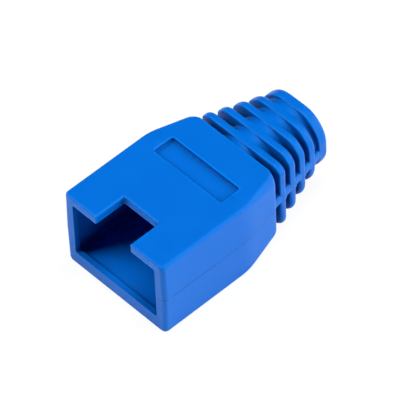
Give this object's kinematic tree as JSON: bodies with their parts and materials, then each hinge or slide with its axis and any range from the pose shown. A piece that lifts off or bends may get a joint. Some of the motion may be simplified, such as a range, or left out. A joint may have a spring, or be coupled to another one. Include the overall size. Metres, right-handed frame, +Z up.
{
  "type": "rj45 strain relief boot",
  "caption": "Slide-on strain relief boot for a modular plug: an open hood with a latch notch and a finger recess, and a tapering ribbed tail with a through bore for the cable.",
  "frame": {"origin": "centre of the boot's footprint, at the height of the hood's underside", "axes": "+X across the boot, +Y from the open mouth to the cable end, +Z up, towards the side with the latch notch"},
  "size_m": [0.014, 0.0248, 0.0096],
  "materials": {
    "boot_rubber": "blue, semi-matte, with a very fine moulded texture"
  },
  "bodies": {
    "root": {"strain_relief_boot": "boot_rubber"}
  },
  "joints": []
}
